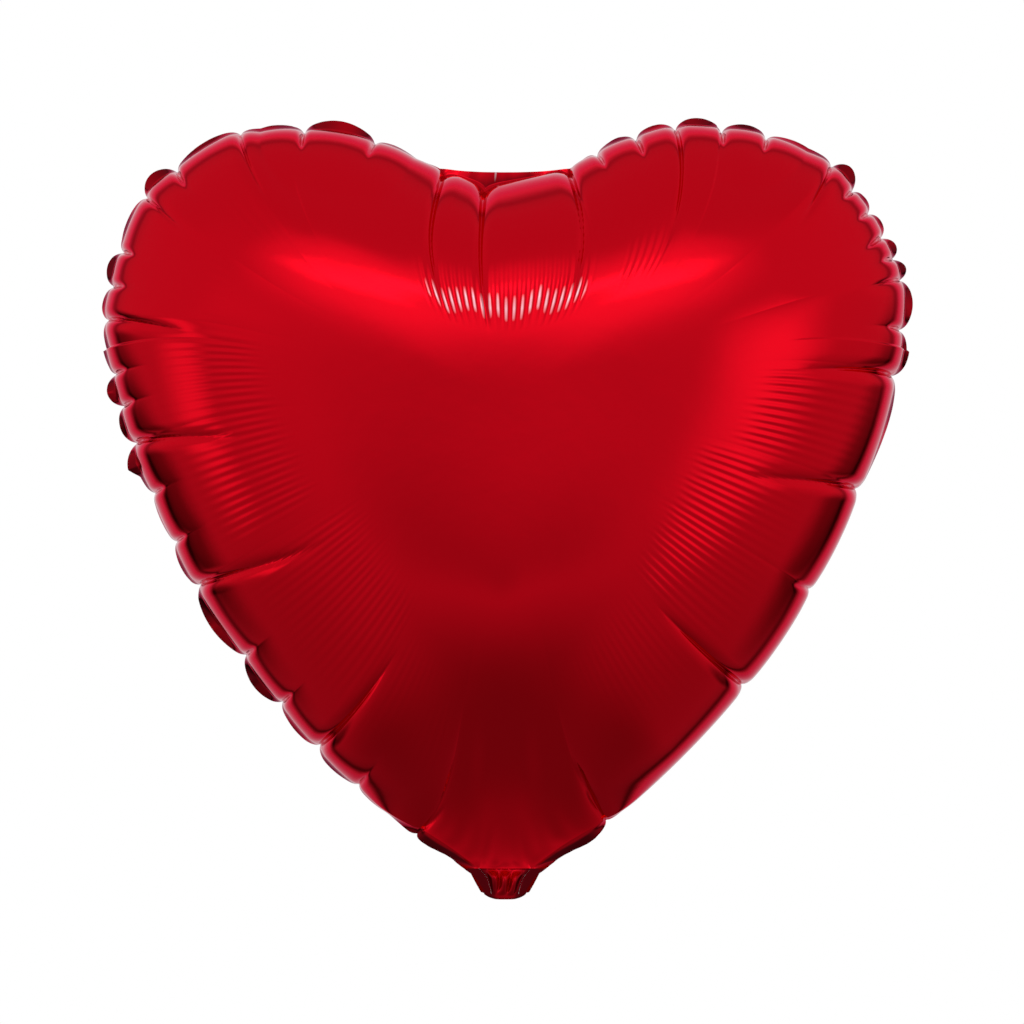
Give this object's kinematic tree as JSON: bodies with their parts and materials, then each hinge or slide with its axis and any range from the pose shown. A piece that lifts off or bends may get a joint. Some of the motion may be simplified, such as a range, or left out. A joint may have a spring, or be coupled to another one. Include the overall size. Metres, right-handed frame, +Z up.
{
  "type": "heart-shaped foil balloon",
  "caption": "Inflated heart-shaped foil balloon of two bulged red metallised film panels with a sealed rim, an inner flat valve and a folding tail tab.",
  "frame": {"origin": "middle of the crease between the neck and the tail tab, where the ribbon is tied", "axes": "+Z up through the heart's cleft, +Y towards the rear panel (the front panel faces -Y), +X to the right seen from the front"},
  "size_m": [0.39, 0.1658, 0.3754],
  "materials": {
    "red_metallised_film": "mirror",
    "clear_valve_film": "gloss",
    "release_coating": "satin"
  },
  "bodies": {
    "envelope": {"front_panel": "red_metallised_film", "rear_panel": "red_metallised_film", "valve_front_film": "clear_valve_film", "valve_rear_film": "clear_valve_film", "valve_release_coating": "release_coating"},
    "tail": {"front_tail_layer": "red_metallised_film", "rear_tail_layer": "red_metallised_film"}
  },
  "joints": [
    {"name": "tail_fold", "type": "hinge", "parent": "envelope", "child": "tail", "pos_m": [0, 0, 0], "axis": [-1, 0, 0], "range_deg": [0, 250]}
  ]
}
